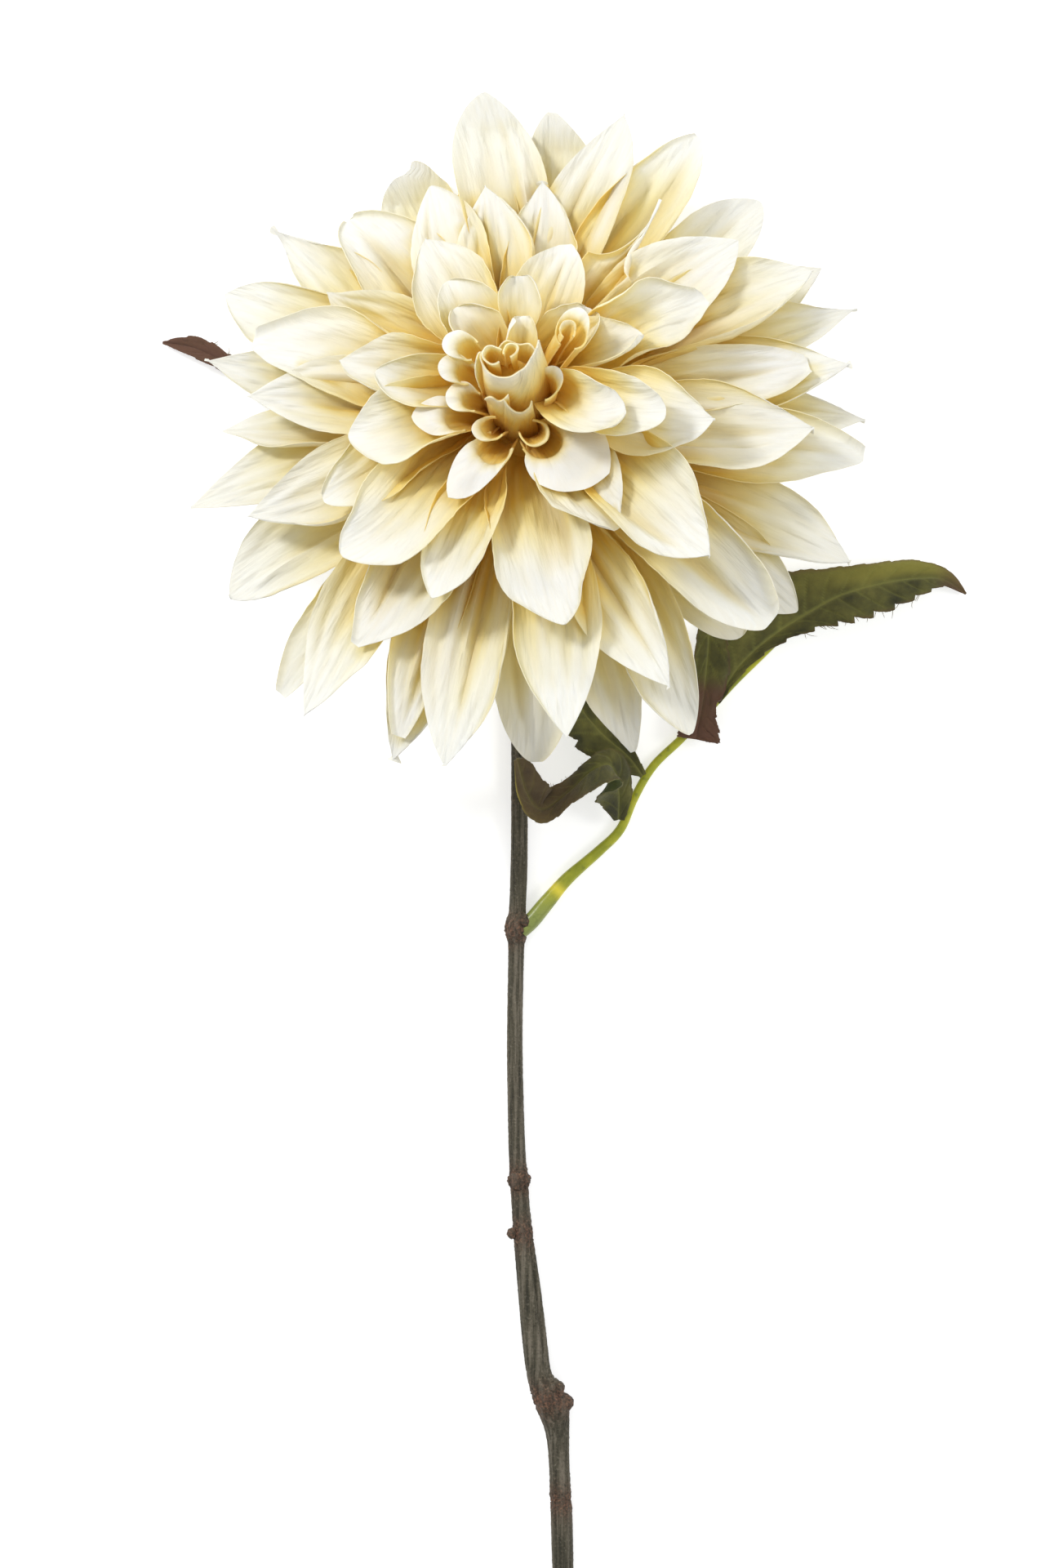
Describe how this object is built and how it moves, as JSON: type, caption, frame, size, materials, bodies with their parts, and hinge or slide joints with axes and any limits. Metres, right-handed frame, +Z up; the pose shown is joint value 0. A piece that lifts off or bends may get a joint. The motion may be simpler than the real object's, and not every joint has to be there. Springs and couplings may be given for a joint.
{
  "type": "cut dahlia",
  "caption": "Large cream dahlia bloom on a woody stem with toothed green leaves, lying on its stem and lowest petals, bloom facing up.",
  "frame": {"origin": "on the surface the flower lies on, under the middle of its bounding box", "axes": "+Z up; the stem lies along -Y and the bloom is at +Y, facing up and leaning toward +Y; +X is to the right with the camera above and the bloom away from it"},
  "size_m": [0.2303, 0.5016, 0.1013],
  "materials": {
    "petal": "satin cream fabric, ivory at the edges and golden at the base",
    "calyx": "matte green",
    "stem": "ridged grey-brown bark",
    "stalk": "glossy yellow-green",
    "leaf": "matte dark olive fabric with paler veins and purple-brown tips"
  },
  "bodies": {
    "root": {"bloom": "petal", "calyx": "calyx", "stem": "stem", "leaf_right_stalk": "stalk", "leaf_right_blade": "leaf", "leaf_right_lobe": "leaf", "leaflet_front": "leaf", "leaflet_back": "leaf", "leaf_left_stalk": "stalk", "leaf_left_blade": "leaf", "leaflet_left_outer": "leaf", "leaflet_left_inner": "leaf"}
  },
  "joints": []
}
